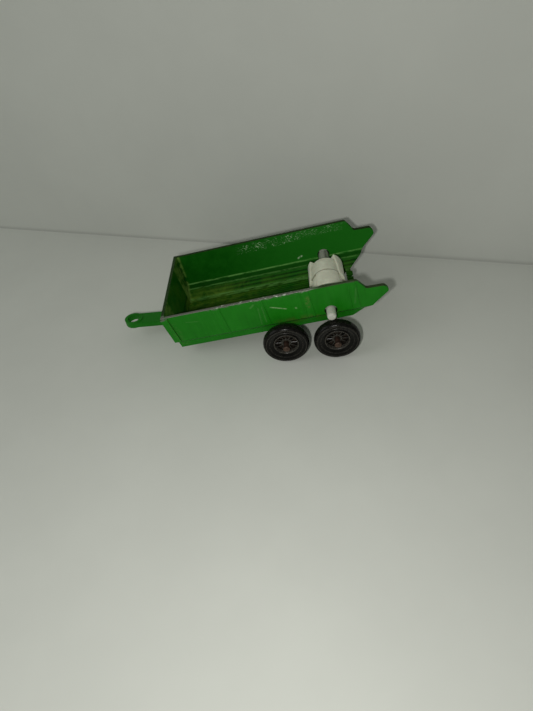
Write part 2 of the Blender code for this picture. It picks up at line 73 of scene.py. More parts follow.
PADDLE_RADIUS = 4.35
PADDLE_ROOT_RADIUS = 2.7
PADDLE_SPREAD = math.radians(46)
# middle of a blade and its half width at the split in degrees, then split and free end in mm
PADDLE_ROWS = ((15.0, 31.0, -1.78, 5.0), (90.0, 40.0, -1.82, -7.0))


def middle(node):
    low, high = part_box(node)
    return (low + high) / 2.0


SHIFT = (middle("front_axle").x + middle("rear_axle").x) / 2.0
RIM_FRONT = Vector((SHIFT - RIM_FRONT_AHEAD * MM, 0.0, RIM_FRONT_HEIGHT * MM))
BEATER = middle("beater_shaft")


# ---- shapes ----------------------------------------------------------------
def new_object(name, mesh, smooth_angle=35.0):
    made = bpy.data.objects.new(name, mesh)
    bpy.context.scene.collection.objects.link(made)
    for polygon in mesh.polygons:
        polygon.use_smooth = True
    mesh.set_sharp_from_angle(angle=math.radians(smooth_angle))
    return made


def filleted(points, radius, steps=3, closed=False):
    """A profile whose corners are replaced by short arcs."""
    out = []
    count = len(points)
    for index in range(count):
        if not closed and index in (0, count - 1):
            out.append(points[index])
            continue
        corner = Vector(points[index])
        before = Vector(points[index - 1]) - corner
        after = Vector(points[(index + 1) % count]) - corner
        reach = min(radius, before.length * 0.45, after.length * 0.45)
        start = corner + before.normalized() * reach
        end = corner + after.normalized() * reach
        for step in range(steps + 1):
            t = step / steps
            point = start * (1 - t) ** 2 + corner * (2 * t * (1 - t)) + end * t ** 2
            out.append((point.x, point.y))
    return out


def revolved(name, profile, steps, closed=False):
    """Mesh turned about Z from (radius, height) points in millimetres."""
    body = bmesh.new()
    rings = []
    for step in range(steps):
        angle = 2 * math.pi * step / steps
        ring = []
        for radius, height in profile:
            ring.append(body.verts.new((
                radius * math.cos(angle) * MM, radius * math.sin(angle) * MM, height * MM)))
        rings.append(ring)
    last = len(profile) if closed else len(profile) - 1
    for step in range(steps):
        here = rings[step]
        there = rings[(step + 1) % steps]
        for index in range(last):
            following = (index + 1) % len(profile)
            body.faces.new((here[index], there[index], there[following], here[following]))
    bmesh.ops.remove_doubles(body, verts=body.verts, dist=0.0005 * MM)
    bmesh.ops.recalc_face_normals(body, faces=body.faces)
    mesh = bpy.data.meshes.new(name)
    body.to_mesh(mesh)
    body.free()
    return mesh


def join_into(body, mesh):
    """Copies a mesh into a bmesh and then frees it."""
    body.from_mesh(mesh)
    bpy.data.meshes.remove(mesh)


def tyre_and_hub_profile():
    """(radius, distance out from the inner face) round the section of a wheel."""
    rim = WHEEL_RADIUS
    wide = WHEEL_WIDTH
    bore = WHEEL_BORE
    hub = HUB_RADIUS
    return filleted([
        (bore, wide * 0.5),
        (hub - 0.1, wide * 0.5),
        (hub, wide * 0.44),
        (hub + 0.04, wide * 0.32),
        (rim * 0.475, wide * 0.32),
        (rim * 0.48, wide * 0.72),
        (rim * 0.505, wide * 0.8),
        (rim * 0.54, wide * 0.79),
        (rim * 0.555, wide * 0.70),
        (rim * 0.63, wide * 0.80),
        (rim * 0.71, wide * 0.9),
        (rim * 0.725, wide * 0.86),
        (rim * 0.8, wide * 0.95),
        (rim * 0.855, wide * 0.99),
        (rim * 0.875, wide * 1.0),
        (rim * 0.885, wide * 0.93),
        (rim * 0.905, wide * 0.93),
        (rim * 0.915, wide * 0.97),
        (rim * 0.955, wide * 0.88),
        (rim * 0.988, wide * 0.72),
        (rim, wide * 0.5),
        (rim * 0.988, wide * 0.26),
        (rim * 0.95, wide * 0.07),
        (rim * 0.89, 0.0),
        (rim * 0.74, 0.0),
        (rim * 0.71, wide * 0.1),
        (hub, wide * 0.1),
        (hub, -HUB_STAND_OFF),
        (bore, -HUB_STAND_OFF),
    ], 0.07, 2, closed=True)


def add_spokes(body, count=SPOKE_COUNT):
    """Tapered spokes, taller than wide, between the hub and the inner ring."""
    start = 1.12
    end = 2.72
    height = WHEEL_WIDTH * 0.4
    taller = 1.3
    for number in range(count):
        made = bmesh.ops.create_cone(
            body, cap_ends=True, segments=10, radius1=0.17 * MM, radius2=0.12 * MM,
            depth=(end - start) * MM,
            matrix=Matrix.Rotation(2 * math.pi * number / count, 4, "Z")
            @ Matrix.Translation(((start + end) / 2.0 * MM, 0.0, height * MM))
            @ Matrix.Rotation(math.radians(90), 4, "Y"))
        for vert in made["verts"]:
            vert.co.z = height * MM + (vert.co.z - height * MM) * taller


def finish_piece(made, material, body, node):
    """Gives a piece its material and puts it on its body in place of its CAD node."""
    made.data.materials.append(material)
    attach(made, body)
    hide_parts(node)


def make_wheel(node, material):
    """Tyre, spokes and hub as one moulding, with its outer face away from the tub."""
    body = bmesh.new()
    join_into(body, revolved("section", tyre_and_hub_profile(), 112, closed=True))
    add_spokes(body)
    mesh = bpy.data.meshes.new(f"{node}_moulded")
    body.to_mesh(mesh)
    body.free()
    made = new_object(f"{node}_moulded", mesh, 32.0)
    side = -1.0 if "left" in node else 1.0
    low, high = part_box(node)
    face = high.y if side < 0 else low.y
    made.location = (middle(node).x, face + side * HUB_STAND_OFF * MM, middle(node).z)
    made.rotation_euler = (math.radians(90) if side < 0 else math.radians(-90), 0.0, 0.0)
    finish_piece(made, material, node, node)


def make_axle(node, material):
    """Drawn pin with two peened heads."""
    end = AXLE_HALF
    radius = AXLE_RADIUS
    head = AXLE_HEAD_RADIUS
    inner = end - 0.5
    half = [
        (0.0, end),
        (head * 0.35, end - 0.01),
        (head * 0.7, end - 0.06),
        (head * 0.95, end - 0.18),
        (head, end - 0.32),
        (head * 0.96, inner),
        (radius + 0.02, inner),
        (radius, inner - 0.06),
    ]
    profile = filleted(half + [(r, -h) for r, h in reversed(half)], 0.05, 2)
    made = new_object(f"{node}_pin", revolved(f"{node}_pin", profile, 48))
    made.location = middle(node)
    made.rotation_euler = (math.radians(90), 0.0, 0.0)
    finish_piece(made, material, node, node)


def make_shaft(material):
    """Beater shaft: a collar between the walls and thinner ends outside them."""
    end = SHAFT_HALF
    thin = SHAFT_END_RADIUS
    thick = SHAFT_MIDDLE_RADIUS
    shoulder = SHAFT_SHOULDER
    half = [(0.0, end), (thin - 0.42, end), (thin - 0.14, end - 0.14), (thin, end - 0.5)]
    half += [(thin, shoulder), (thick, shoulder)]
    profile = filleted(half + [(r, -h) for r, h in reversed(half)], 0.08, 3)
    made = new_object("beater_shaft_moulded", revolved("beater_shaft_moulded", profile, 64))
    made.location = BEATER
    made.rotation_euler = (math.radians(90), 0.0, 0.0)
    finish_piece(made, material, "beater", "beater_shaft")


def add_paddle(body, centre, waist, split, free_end):
    """Curved blade that narrows from its free end to the split between the rows."""
    along = 14
    across = 18
    crown = 0.12                 # how much lower a blade's side edges are
    rings = []
    for row in range(along + 1):
        t = row / along
        y = split + (free_end - split) * t
        spread = waist + (PADDLE_SPREAD - waist) * t ** 2
        ring = []
        for step in range(across + 1):
            turn = 2.0 * step / across - 1.0
            angle = centre + spread * turn
            radius = PADDLE_RADIUS - crown * turn ** 4
            ring.append((radius * math.cos(angle), y, radius * math.sin(angle)))
        for step in range(across + 1):
            angle = centre + spread * (1.0 - 2.0 * step / across)
            ring.append((
                PADDLE_ROOT_RADIUS * math.cos(angle), y, PADDLE_ROOT_RADIUS * math.sin(angle)))
        rings.append([body.verts.new([value * MM for value in point]) for point in ring])
    faces = []
    count = len(rings[0])
    for row in range(along):
        for number in range(count):
            following = (number + 1) % count
            faces.append(body.faces.new((
                rings[row][number], rings[row][following],
                rings[row + 1][following], rings[row + 1][number])))
    faces.append(body.faces.new(rings[0]))
    faces.append(body.faces.new(list(reversed(rings[-1]))))
    bmesh.ops.recalc_face_normals(body, faces=faces)


def make_drum(material):
    """Core of the beater with two rows of two paddles."""
    left, right = DRUM_CORE_ENDS
    profile = [(DRUM_BORE, left), (DRUM_CORE_RADIUS, left), (DRUM_CORE_RADIUS, right), (DRUM_BORE, right)]
    tube = revolved("core", filleted(profile, 0.15, 3, closed=True), 96, closed=True)
    body = bmesh.new()
    join_into(body, tube)
    bmesh.ops.rotate(body, verts=body.verts, matrix=Matrix.Rotation(math.radians(-90), 3, "X"))
    for half_turn in (0.0, math.pi):
        for centre, waist, split, free_end in PADDLE_ROWS:
            add_paddle(body, math.radians(centre) + half_turn, math.radians(waist), split, free_end)
    mesh = bpy.data.meshes.new("beater_drum_moulded")
    body.to_mesh(mesh)
    body.free()
    made = new_object("beater_drum_moulded", mesh, 40.0)
    made.location = BEATER
    soft = made.modifiers.new("soft_edges", "BEVEL")
    soft.width = 0.36 * MM
    soft.segments = 5
    soft.limit_method = "ANGLE"
    soft.angle_limit = math.radians(40)
    finish_piece(made, material, "beater", "beater_drum")


def make_rivet(node, material):
    """Domed head in the tub and a spread head under the axle base."""
    head = 1.4
    shank = 0.75
    floor_thickness = 1.2
    gap = 0.06
    flange = 1.0                 # thickness of the axle base under the floor
    grip = floor_thickness + gap
    bottom = -(flange + gap) * math.cos(TUB_PITCH) - 0.08
    profile = [
        (0.0, grip + 0.5),
        (head * 0.45, grip + 0.45),
        (head * 0.85, grip + 0.24),
        (head, grip + 0.02),
        (head * 0.98, grip),
        (shank, grip),
        (shank, bottom),
        (head * 0.9, bottom),
        (head * 0.8, bottom - 0.3),
        (head * 0.4, bottom - 0.4),
        (0.0, bottom - 0.4),
    ]
    made = new_object(f"{node}_headed", revolved(f"{node}_headed", filleted(profile, 0.08, 3), 48))
    made.rotation_euler = (0.0, -TUB_PITCH, 0.0)
    made.location = (middle(node).x, 0.0, middle(node).z)
    bpy.context.view_layer.update()
    corners = [made.matrix_world @ Vector(corner) for corner in made.bound_box]
    lowest = min(corner.z for corner in corners)
    highest = max(corner.z for corner in corners)
    left = min(corner.x for corner in corners)
    right = max(corner.x for corner in corners)
    made.location.z += middle(node).z - (lowest + highest) / 2.0
    made.location.x += middle(node).x - (left + right) / 2.0
    finish_piece(made, material, "trailer_body", node)


def soften_casting(node):
    """Rounds the edges of a cast piece with modifiers; its own corners stay put."""
    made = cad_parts[node]
    merge = made.modifiers.new("weld", "WELD")
    merge.merge_threshold = 0.001 * MM
    soft = made.modifiers.new("soft_edges", "BEVEL")
    soft.width = 0.05 * MM
    soft.segments = 2
    soft.limit_method = "ANGLE"
    soft.angle_limit = math.radians(28)
    soft.use_clamp_overlap = False
    even = made.modifiers.new("even_shading", "WEIGHTED_NORMAL")
    even.keep_sharp = True
    return made


# ---- shader helpers -----------------------------------------------------
class Shader:
    """A small wrapper that makes node graphs readable."""

    def __init__(self, name):
        self.material = bpy.data.materials.new(name)
        self.material.use_nodes = True
        self.tree = self.material.node_tree
        self.bsdf = self.tree.nodes["Principled BSDF"]

    def node(self, kind, **settings):
        made = self.tree.nodes.new(kind)
        for key, value in settings.items():
            setattr(made, key, value)
        return made

    def link(self, source, target):
        if hasattr(source, "outputs"):
            source = source.outputs[0]
        self.tree.links.new(source, target)

    def put(self, value, socket):
        """A number, a colour or another node's output goes into a socket."""
        if isinstance(value, (int, float)):
            socket.default_value = value
        elif isinstance(value, (tuple, list)):
            full = list(value) + [1.0] * (len(socket.default_value) - len(value))
            socket.default_value = full
        else:
            self.link(value, socket)

    def math(self, operation, a, b=0.0, c=0.0, clamp=False):
        made = self.node("ShaderNodeMath", operation=operation, use_clamp=clamp)
        for index, value in enumerate((a, b, c)):
            self.put(value, made.inputs[index])
        return made.outputs[0]

    def times(self, *values):
        result = values[0]
        for value in values[1:]:
            result = self.math("MULTIPLY", result, value)
        return result

    def most(self, *values):
        result = values[0]
        for value in values[1:]:
            result = self.math("MAXIMUM", result, value)
        return result

    def noise(self, vector, scale, detail=3.0, rough=0.55, distort=0.0):
        made = self.node("ShaderNodeTexNoise")
        self.link(vector, made.inputs["Vector"])
        made.inputs["Scale"].default_value = scale
        made.inputs["Detail"].default_value = detail
        made.inputs["Roughness"].default_value = rough
        made.inputs["Distortion"].default_value = distort
        return made.outputs["Fac"]

    def ramp(self, value, low, high, out_low=0.0, out_high=1.0, smooth=True):
        made = self.node("ShaderNodeMapRange")
        made.interpolation_type = "SMOOTHSTEP" if smooth else "LINEAR"
        self.put(value, made.inputs["Value"])
        self.put(low, made.inputs["From Min"])
        self.put(high, made.inputs["From Max"])
        self.put(out_low, made.inputs["To Min"])
        self.put(out_high, made.inputs["To Max"])
        return made.outputs["Result"]

    def band(self, value, centre, half, soft):
        """1 where value lies within half of centre, 0 beyond half + soft."""
        away = self.math("ABSOLUTE", self.math("SUBTRACT", value, centre))
        return self.ramp(away, half, half + soft, 1.0, 0.0)

    def mix(self, factor, a, b, blend="MIX"):
        made = self.node("ShaderNodeMix", data_type="RGBA", blend_type=blend)
        self.put(factor, made.inputs[0])
        self.put(a, made.inputs[6])
        self.put(b, made.inputs[7])
        return made.outputs[2]

    def mix_value(self, factor, a, b):
        made = self.node("ShaderNodeMix", data_type="FLOAT")
        self.put(factor, made.inputs[0])
        self.put(a, made.inputs[2])
        self.put(b, made.inputs[3])
        return made.outputs[0]

    def coordinates(self):
        return self.node("ShaderNodeTexCoord").outputs["Object"]

    def in_millimetres(self, vector=None):
        """Object coordinates, or another vector, counted in millimetres."""
        return self.mapped(vector or self.coordinates(), scale=(1.0 / MM, 1.0 / MM, 1.0 / MM))

    def facing(self):
        """Direction of the flat surface under this point."""
        return self.node("ShaderNodeNewGeometry").outputs["True Normal"]

    def crevice(self, distance, low=0.45, high=0.85):
        """1 deep in a corner, 0 on open surfaces."""
        made = self.node("ShaderNodeAmbientOcclusion", samples=8)
        made.inputs["Distance"].default_value = distance
        return self.ramp(made.outputs["AO"], low, high, 1.0, 0.0)

    def rounded(self, radius):
        """Normal that is rounded off at edges, and how much it differs there."""
        made = self.node("ShaderNodeBevel", samples=6)
        made.inputs["Radius"].default_value = radius
        product = self.node("ShaderNodeVectorMath", operation="DOT_PRODUCT")
        self.link(made, product.inputs[0])
        self.link(self.facing(), product.inputs[1])
        return made.outputs["Normal"], self.ramp(product.outputs["Value"], 0.97, 0.80, 0.0, 1.0)

    def mapped(self, vector, location=(0, 0, 0), rotation=(0, 0, 0), scale=(1, 1, 1), kind="POINT"):
        made = self.node("ShaderNodeMapping", vector_type=kind)
        self.link(vector, made.inputs["Vector"])
        made.inputs["Location"].default_value = location
        made.inputs["Rotation"].default_value = rotation
        made.inputs["Scale"].default_value = scale
        return made.outputs["Vector"]

    def split(self, vector):
        made = self.node("ShaderNodeSeparateXYZ")
        self.link(vector, made.inputs[0])
        return made.outputs

    def bump(self, height, distance, strength=1.0, normal=None):
        made = self.node("ShaderNodeBump")
        self.put(height, made.inputs["Height"])
        made.inputs["Distance"].default_value = distance
        made.inputs["Strength"].default_value = strength
        if normal is not None:
            self.link(normal, made.inputs["Normal"])
        return made.outputs["Normal"]

    def stroke(self, along, up, start, end, width):
        """1 on a short straight scratch between two (along, up) points in millimetres."""
        dx = end[0] - start[0]
        dz = end[1] - start[1]
        length = math.hypot(dx, dz)
        a = self.math("SUBTRACT", along, start[0])
        u = self.math("SUBTRACT", up, start[1])
        forward = self.math("ADD", self.times(a, dx / length), self.times(u, dz / length))
        off = self.math("SUBTRACT", self.times(u, dx / length), self.times(a, dz / length))
        inside = self.band(forward, length / 2.0, length / 2.0 - width, width * 2.0)
        return self.times(inside, self.band(off, 0.0, width * 0.4, width * 0.8))

    def set(self, **values):
        names = {
            "colour": "Base Color", "roughness": "Roughness", "metallic": "Metallic",
            "normal": "Normal", "coat": "Coat Weight", "coat_roughness": "Coat Roughness",
            "specular": "Specular IOR Level", "subsurface": "Subsurface Weight",
            "subsurface_scale": "Subsurface Scale"}
        for key, value in values.items():
            self.put(value, self.bsdf.inputs[names[key]])
        return self.material


# ---- finishes --------------------------------------------------------------
def enamel(name):
    """Old green enamel on a zinc casting: chipped rims, scratches, dust and dirt, with painted shade inside
    the tub and in its corners, and painted light and shade on the chute.
    """
    s = Shader(name)
    place = s.coordinates()
    tub = s.mapped(place, tuple(RIM_FRONT), (0.0, -TUB_PITCH, 0.0), kind="TEXTURE")
    in_mm = s.in_millimetres(tub)
    along, side, up = s.split(in_mm)
    width = s.math("ABSOLUTE", side)
    hand = s.math("SIGN", side)
    turned = s.mapped(s.facing(), rotation=(0.0, TUB_PITCH, 0.0))
    face_x, face_y, face_z = s.split(turned)

    fine = s.noise(in_mm, 1.7, 5.0, 0.6)
    grain = s.noise(in_mm, 6.0, 4.0, 0.6)
    blotch = s.noise(in_mm, 0.14, 4.0, 0.6)
    patchy = s.noise(in_mm, 0.45, 5.0, 0.65)
    lengthwise = s.noise(s.mapped(in_mm, scale=(0.35, 1.0, 3.2)), 1.3, 4.0, 0.7)
    upright = s.noise(s.mapped(in_mm, scale=(2.2, 1.0, 0.12)), 0.9, 3.0, 0.6)

    # inner surfaces: walls that face the middle, and everything that faces up
    to_middle = s.ramp(s.times(hand, face_y), -0.3, -0.1, 1.0, 0.0)
    to_sky = s.times(s.ramp(face_z, 0.3, 0.5), s.ramp(up, -0.9, -0.6, 1.0, 0.0))
    to_tail = s.times(s.ramp(face_x, 0.4, 0.6), s.ramp(along, 3.0, 4.0, 1.0, 0.0))
    inside = s.times(s.most(to_middle, to_sky, to_tail), s.ramp(along, 0.3, 0.5))
    near = s.ramp(side, -1.0, 1.0, 1.0, 0.0)
    far = s.math("SUBTRACT", 1.0, near)

    # outside enamel
    colour = s.mix(s.ramp(blotch, 0.35, 0.68), (0.0085, 0.175, 0.0050), (0.0120, 0.203, 0.0075))
    colour = s.mix(s.times(s.ramp(upright, 0.52, 0.72), 0.3), colour, (0.022, 0.235, 0.014))
    colour = s.mix(s.times(s.ramp(upright, 0.46, 0.3), 0.3), colour, (0.008, 0.130, 0.005))
    colour = s.mix(s.times(s.ramp(along, -0.4, -0.8), 0.35), colour, (0.010, 0.085, 0.008))

    # inside enamel: a darker copy of the green, partly duller paint and partly painted shade inside the tub,
    # darkest at the front where the painted shade is deepest, with a film of dust that gathers low down and
    # at the front
    inner = s.mix(s.ramp(patchy, 0.3, 0.7), (0.0022, 0.068, 0.0010), (0.0050, 0.090, 0.0025))
    rearward = s.ramp(along, 8.0, 36.0)
    inner = s.mix(s.times(rearward, 0.85), inner, (0.0120, 0.150, 0.0085))
    to_front = s.ramp(along, 30.0, 4.0)
    dust = s.times(s.ramp(up, -8.6, -10.4), s.math("ADD", s.times(to_front, 0.75), 0.2))
    dust = s.math("ADD", dust, s.times(s.ramp(along, 2.6, 1.6), s.ramp(width, 8.5, 4.0, 0.05, 0.3)))
    dust = s.times(dust, s.ramp(s.noise(in_mm, 0.32, 5.0, 0.65, 0.4), 0.30, 0.68))
    on_chute = s.ramp(up, -8.2, -8.6)
    inner = s.mix(s.times(on_chute, 0.6), inner, (0.0030, 0.050, 0.0008))
    streaks = s.times(s.ramp(lengthwise, 0.55, 0.74), s.ramp(up, -7.0, -8.6, 0.25, 0.5))
    inner = s.mix(streaks, inner, (0.016, 0.130, 0.007))
    dark_streaks = s.times(s.ramp(lengthwise, 0.47, 0.33), on_chute, 0.85)
    inner = s.mix(dark_streaks, inner, (0.0012, 0.028, 0.0006))
    # painted shade and painted highlights in fine lengthwise lines on the low chute stand in for ridges that
    # are not modelled
    ridge_pitch = 0.75
    ridge_shade_and_highlight = s.math("SINE", s.times(width, 2.0 * math.pi / ridge_pitch))
    low_chute = s.times(to_sky, s.ramp(up, -9.2, -9.7), s.ramp(along, 5.0, 14.0, 0.25, 1.0))
    inner = s.mix(s.times(s.ramp(ridge_shade_and_highlight, 0.1, 0.9), low_chute, 0.8), inner, (0.0010, 0.020, 0.0005))
    inner = s.mix(s.times(s.ramp(ridge_shade_and_highlight, -0.6, -1.0), low_chute, 0.35), inner, (0.045, 0.150, 0.014))
    inner = s.mix(s.times(dust, s.ramp(ridge_shade_and_highlight, -1.0, 1.0, 1.0, 0.75)), inner, (0.080, 0.160, 0.014))
    # light bands along the bends: partly dust, partly a painted highlight along the edges of the folds
    bends = s.most(
        s.band(up, -8.2, 0.03, 0.2), s.times(s.band(up, -9.05, 0.03, 0.16), 0.55),
        s.times(s.band(up, -11.0, 0.05, 0.25), 0.6))
    inner = s.mix(s.times(s.band(up, -8.65, 0.3, 0.12), 0.5), inner, (0.0030, 0.045, 0.0008))
    bends = s.times(bends, s.ramp(lengthwise, 0.36, 0.56), s.ramp(width, 5.8, 6.3))
    inner = s.mix(s.times(bends, 0.8), inner, (0.130, 0.330, 0.075))
    front_bend = s.times(s.band(along, 1.15, 0.1, 0.6), s.ramp(patchy, 0.35, 0.6), s.ramp(width, 6.0, 6.5))
    inner = s.mix(s.times(front_bend, 0.8), inner, (0.150, 0.270, 0.050))
    colour = s.mix(inside, colour, inner)

    # rubbed specks high on the inner side of the right wall
    rubbed = s.noise(s.mapped(in_mm, scale=(0.8, 1.0, 1.5)), 3.2, 1.0, 0.5)
    clumps = s.ramp(s.noise(in_mm, 0.42, 3.0, 0.6), 0.42, 0.58, 0.15, 1.0)
    slanted = s.math("ADD", up, s.ramp(along, 18.0, 42.0, 1.9, 1.0, smooth=False))
    high_band = s.times(s.band(slanted, 0.0, 0.5, 0.9), s.ramp(along, 16.0, 21.0), s.ramp(along, 46.0, 42.0))
    specks = s.times(inside, far, high_band, clumps, s.ramp(rubbed, 0.595, 0.625))
    specks = s.times(specks, s.ramp(along, 28.0, 34.0, 1.0, 0.45))
    film = s.times(inside, far, high_band, clumps, s.ramp(fine, 0.35, 0.62), 0.12)
    colour = s.mix(film, colour, (0.040, 0.210, 0.035))
    colour = s.mix(s.times(specks, 0.95), colour, (0.480, 0.680, 0.400))
    nick = s.stroke(along, up, (32.0, -7.35), (33.2, -6.8), 0.25)
    nick = s.times(inside, far, nick, s.ramp(fine, 0.35, 0.55))
    colour = s.mix(s.times(nick, 0.9), colour, (0.450, 0.620, 0.380))

    # scratches, (along, up) in millimetres, on the outside of the left wall
    outside_near = s.times(near, s.math("SUBTRACT", 1.0, inside))
    marks = s.most(
        s.times(s.stroke(along, up, (25.4, -3.0), (28.9, -4.5), 0.20), 0.9),
        s.times(s.stroke(along, up, (20.9, -2.2), (22.0, -1.2), 0.25), 0.2),
        s.times(s.stroke(along, up, (31.0, -4.6), (31.15, -5.0), 0.28), 0.6),
        s.times(s.stroke(along, up, (23.6, -2.1), (23.5, -7.6), 0.18), 0.12),
        s.times(s.stroke(along, up, (22.7, -2.4), (22.2, -8.2), 0.18), 0.10),
        s.times(s.stroke(along, up, (45.0, -2.0), (44.3, -6.8), 0.25), 0.10),
        s.times(s.stroke(along, up, (5.2, -2.6), (8.4, -3.1), 0.14), 0.12))
    marks = s.times(marks, s.ramp(fine, 0.32, 0.6, 0.35, 1.0), outside_near)
    colour = s.mix(marks, colour, (0.300, 0.480, 0.220))
    rub = s.stroke(along, up, (34.1, -1.9), (33.8, -5.3), 0.6)
    rub = s.times(rub, s.ramp(fine, 0.40, 0.58), outside_near)
    colour = s.mix(s.times(rub, 0.55), colour, (0.140, 0.190, 0.050))

    # dirt low on the outside near the wheels, and rubbed beige spots on the front stake
    low_dirt = s.times(
        s.band(up, -9.3, 0.7, 1.6), s.band(along, 32.5, 4.5, 5.0), s.ramp(patchy, 0.42, 0.62), outside_near)
    colour = s.mix(s.times(low_dirt, 0.5), colour, (0.085, 0.110, 0.020))
    stake_wear = s.times(
        s.band(along, 2.0, 0.6, 0.7), s.ramp(grain, 0.56, 0.66), s.ramp(up, -1.5, -3.0),
        s.math("SUBTRACT", 1.0, inside))
    colour = s.mix(s.times(stake_wear, 0.65), colour, (0.200, 0.240, 0.110))

    # rims: bare grey metal on the left rim, dark worn enamel on the others
    on_top = s.times(s.ramp(face_z, 0.45, 0.75), s.ramp(up, -3.9, -3.6), s.ramp(along, -0.3, -0.1))
    ragged = s.noise(s.mapped(in_mm, scale=(0.6, 1.0, 1.0)), 1.6, 5.0, 0.7)
    bare = s.times(
        on_top, near, s.ramp(along, 0.9, 1.5), s.ramp(along, 37.5, 34.5), s.ramp(ragged, 0.28, 0.44))
    spill = s.times(
        outside_near, s.ramp(up, -0.65, -0.05), s.ramp(along, 9.0, 13.0), s.ramp(along, 36.0, 33.0),
        s.ramp(ragged, 0.50, 0.58))
    corner = s.times(
        s.ramp(along, 1.4, 0.6), s.ramp(side, -11.2, -12.0), s.ramp(up, -0.9, -0.3),
        s.ramp(along, -0.4, -0.2))
    bare = s.most(bare, spill, s.times(corner, s.ramp(ragged, 0.35, 0.5)))
    dark_top = s.times(on_top, s.math("SUBTRACT", 1.0, bare))
    worn_top = s.mix(s.times(near, s.ramp(along, 1.0, 2.0)), (0.006, 0.014, 0.003), (0.040, 0.042, 0.026))
    worn_top = s.mix(s.ramp(ragged, 0.4, 0.6), worn_top, (0.022, 0.030, 0.010))
    colour = s.mix(s.times(dark_top, 0.9), colour, worn_top)
    metal = s.mix(s.ramp(grain, 0.35, 0.65), (0.115, 0.115, 0.095), (0.240, 0.240, 0.215))
    bright = s.times(
        s.ramp(s.noise(in_mm, 0.9, 3.0, 0.6), 0.56, 0.66), s.ramp(along, 12.0, 15.0),
        s.ramp(along, 36.0, 34.0))
    metal = s.mix(bright, metal, (0.62, 0.66, 0.58))
    colour = s.mix(bare, colour, metal)

    # painted shade and grime in the corners, and thin worn paint along the edges
    corner_shade_and_grime = s.crevice(0.7 * MM)
    corner_shade_weight = s.mix_value(inside, 0.08, 0.6)
    colour = s.mix(s.times(corner_shade_and_grime, corner_shade_weight), colour, (0.004, 0.030, 0.002))
    soft_normal, on_edge = s.rounded(0.13 * MM)
    edge_wear = s.times(on_edge, s.ramp(ragged, 0.46, 0.60), s.math("SUBTRACT", 1.0, bare))
    colour = s.mix(s.times(edge_wear, 0.35), colour, (0.045, 0.110, 0.030))

    clean_rough = s.ramp(blotch, 0.2, 0.8, 0.30, 0.42)
    dusty_rough = s.ramp(patchy, 0.2, 0.8, 0.48, 0.66)
    roughness = s.mix_value(inside, clean_rough, dusty_rough)
    roughness = s.mix_value(bare, roughness, 0.48)
    metallic = s.times(bare, 0.55)
    height = s.math("ADD", s.times(fine, 0.6), s.times(grain, 0.35))
    height = s.math("SUBTRACT", height, s.times(s.most(bare, marks), 0.9))
    normal = s.bump(height, 0.035 * MM, 0.75, soft_normal)
    gloss = s.mix_value(s.times(inside, far), 0.13, 0.05)
    return s.set(colour=colour, roughness=roughness, metallic=metallic, normal=normal, specular=gloss)


def moulded_black(name):
    """Dark brown-black plastic with painted highlights on its rings, dusty spokes and dust in the hollows.
    """
    s = Shader(name)
    place = s.in_millimetres()
    x, y, z = s.split(place)
    radius = s.math("SQRT", s.math("ADD", s.times(x, x), s.times(y, y)))
    fine = s.noise(place, 5.0, 4.0, 0.6)
    spots = s.noise(place, 1.1, 4.0, 0.65)
    colour = s.mix(s.ramp(spots, 0.35, 0.7), (0.0028, 0.0027, 0.0022), (0.0060, 0.0056, 0.0045))
    # painted highlights on the ring crests, and dust with a painted highlight on the tops of the spokes
    crest_highlights_and_dust = s.most(
        s.band(radius, WHEEL_RADIUS * 0.52, 0.10, 0.10),
        s.times(s.band(radius, WHEEL_RADIUS * 0.866, 0.08, 0.12), 0.6),
        s.times(s.band(radius, WHEEL_RADIUS * 0.715, 0.06, 0.10), 0.5),
        s.times(s.ramp(radius, 2.9, 2.7), s.ramp(z, 1.0, 1.2)))
    colour = s.mix(s.times(crest_highlights_and_dust, s.ramp(fine, 0.35, 0.6), 0.75), colour, (0.095, 0.088, 0.074))
    hollow = s.times(s.ramp(radius, 2.75, 2.6), s.ramp(z, 0.95, 0.8))
    colour = s.mix(s.times(hollow, s.ramp(spots, 0.4, 0.65), 0.5), colour, (0.045, 0.030, 0.022))
    # painted speckled highlight along the tread
    tread = s.times(s.ramp(radius, 5.3, 5.42), s.ramp(fine, 0.5, 0.66))
    colour = s.mix(s.times(tread, 0.5), colour, (0.040, 0.038, 0.032))
    normal = s.bump(s.math("ADD", s.times(fine, 0.6), s.times(spots, 0.6)), 0.03 * MM, 0.7)
    return s.set(colour=colour, roughness=s.ramp(spots, 0.25, 0.8, 0.18, 0.32), normal=normal, specular=0.15)


def moulded_cream(name):
    """Aged white plastic: faint yellowing, grey handling marks, painted shade in the crevices and a painted
    shadow on the core.
    """
    s = Shader(name)
    place = s.in_millimetres()
    fine = s.noise(place, 2.6, 5.0, 0.6)
    spots = s.noise(place, 0.55, 4.0, 0.6)
    colour = s.mix(s.ramp(spots, 0.35, 0.7), (0.61, 0.62, 0.49), (0.72, 0.73, 0.59))
    colour = s.mix(s.times(s.ramp(fine, 0.58, 0.72), 0.5), colour, (0.56, 0.54, 0.42))
    # painted shade in the crevices
    colour = s.mix(s.times(s.crevice(1.2 * MM, 0.30, 0.75), 0.6), colour, (0.22, 0.20, 0.13))
    x, y, z = s.split(place)
    radius = s.math("SQRT", s.math("ADD", s.times(x, x), s.times(z, z)))
    # painted shadow on the core just beyond the step where the near paddles end
    step_shadow = s.times(
        s.band(y, -1.15, 0.26, 0.34), s.ramp(radius, 3.95, 3.85), s.ramp(fine, 0.25, 0.5, 0.6, 1.0))
    colour = s.mix(s.times(step_shadow, 0.8), colour, (0.20, 0.18, 0.11))
    normal = s.bump(s.math("ADD", s.times(fine, 0.7), s.times(spots, 0.8)), 0.07 * MM, 0.8)
    return s.set(colour=colour, roughness=s.ramp(fine, 0.3, 0.7, 0.42, 0.58), normal=normal,
                 subsurface=0.06, subsurface_scale=0.4 * MM)


